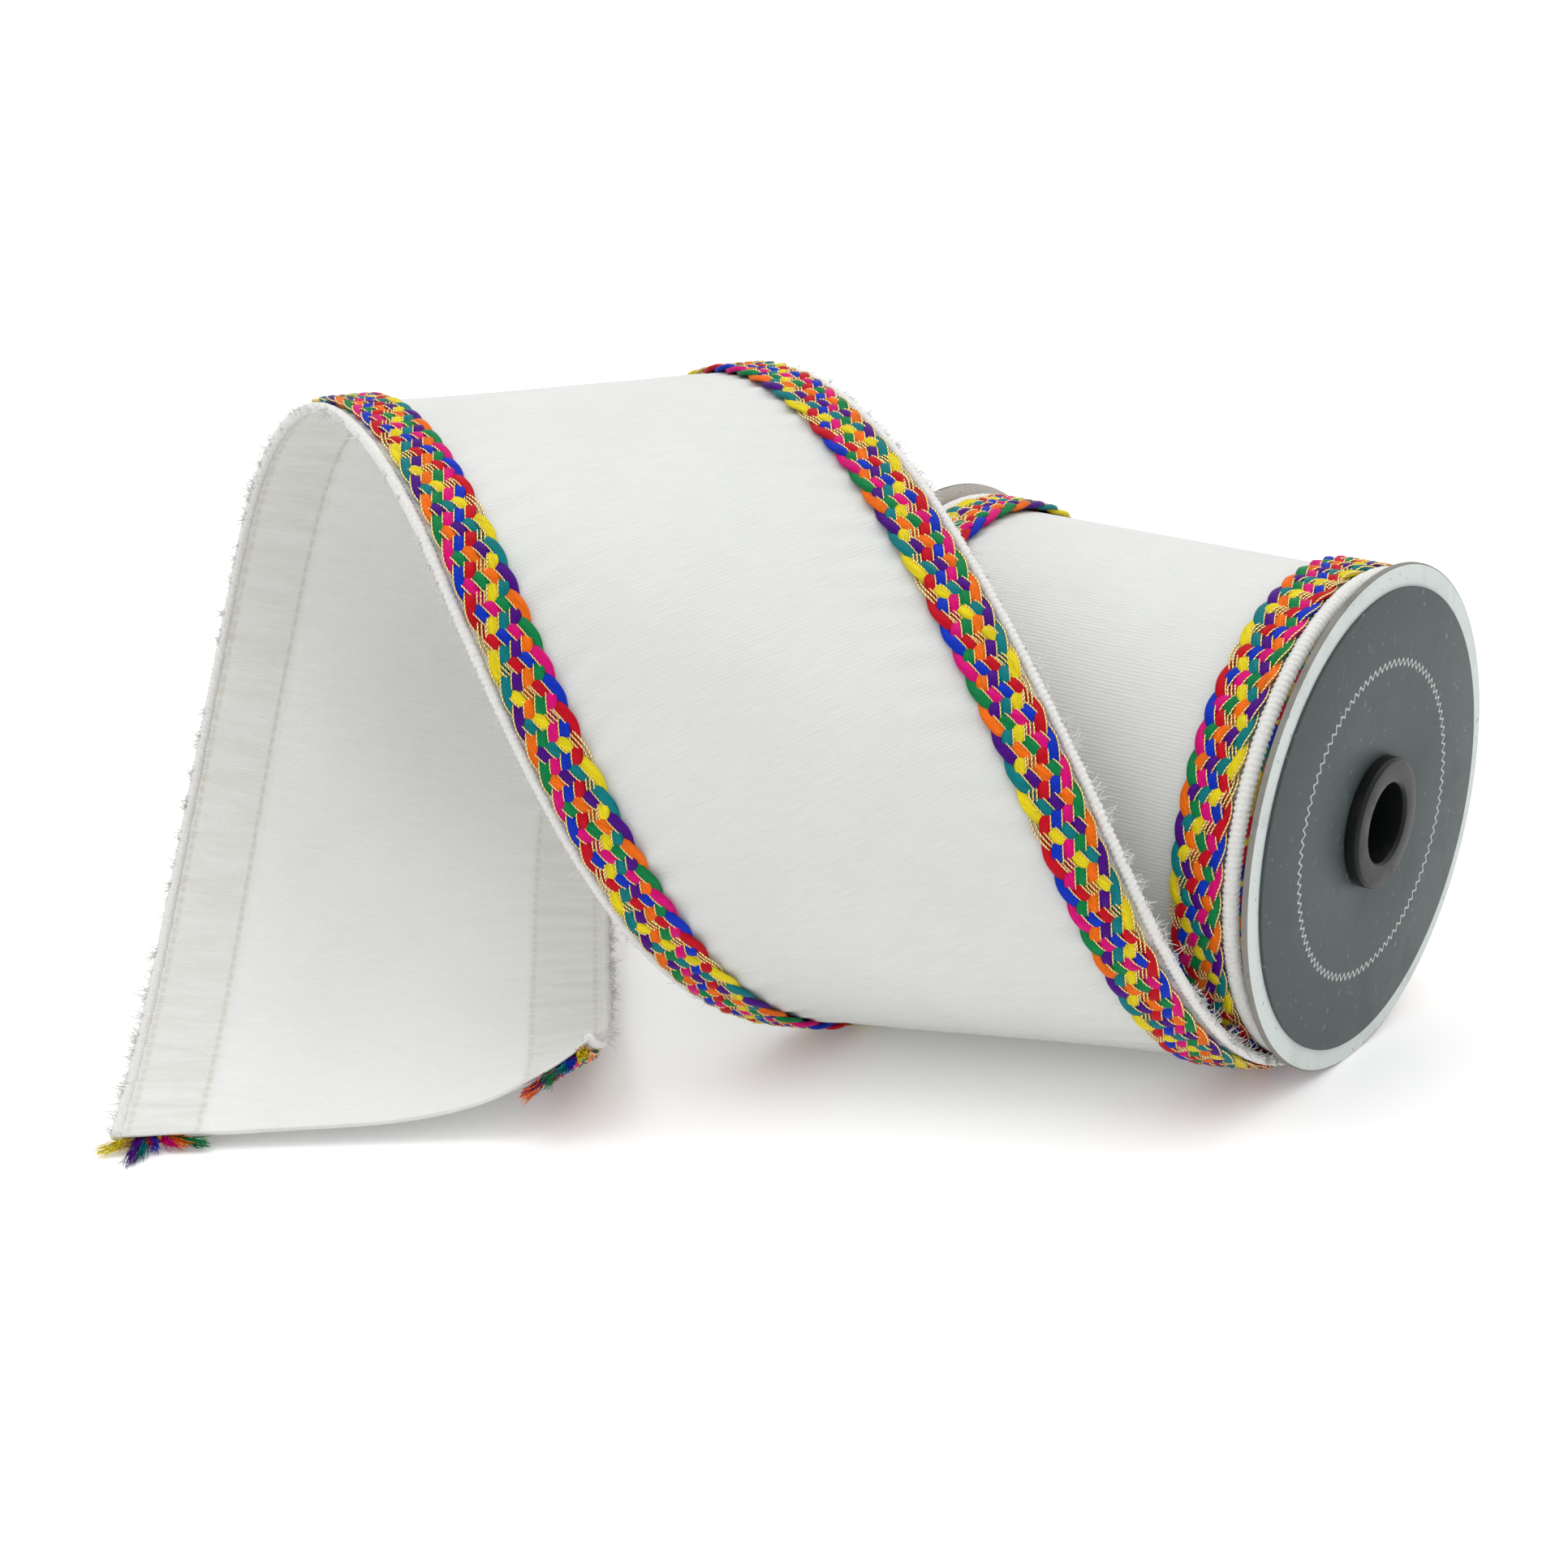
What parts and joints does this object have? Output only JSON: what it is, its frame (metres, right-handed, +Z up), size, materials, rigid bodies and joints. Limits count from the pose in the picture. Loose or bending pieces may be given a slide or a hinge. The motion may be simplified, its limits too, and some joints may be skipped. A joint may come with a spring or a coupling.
{
  "type": "braided ribbon on a spool",
  "caption": "White wired ribbon with multi-coloured flat braids along both edges, wound on a card spool, its free end arching up and lying flat at the cut.",
  "frame": {"origin": "centre of the bounding box in plan, on the surface that the spool and the ribbon's end stand on", "axes": "+Z up; +X along the spool's axis towards its labelled flange; -Y towards the ribbon's cut end"},
  "size_m": [0.2692, 0.2504, 0.1363],
  "materials": {
    "cloth": "white woven ribbon with fine cross ribs and a slight satin sheen",
    "braid": "flat silky braid in eight bright colours and gold thread",
    "card": "pale matt card, scuffed at the rim",
    "label": "dark grey printed paper, bare",
    "hub": "black moulded plastic",
    "core": "brown card tube"
  },
  "bodies": {
    "root": {"ribbon_cloth": "cloth", "ribbon_roll": "cloth", "plait_free_far": "braid", "plait_free_near": "braid", "plait_roll_far": "braid", "plait_roll_near": "braid", "frayed_end_far": "braid", "frayed_end_near": "braid", "flange_near": "card", "flange_far": "card", "label_disc": "label", "hub_near": "hub", "hub_far": "hub", "core_tube": "core"}
  },
  "joints": []
}
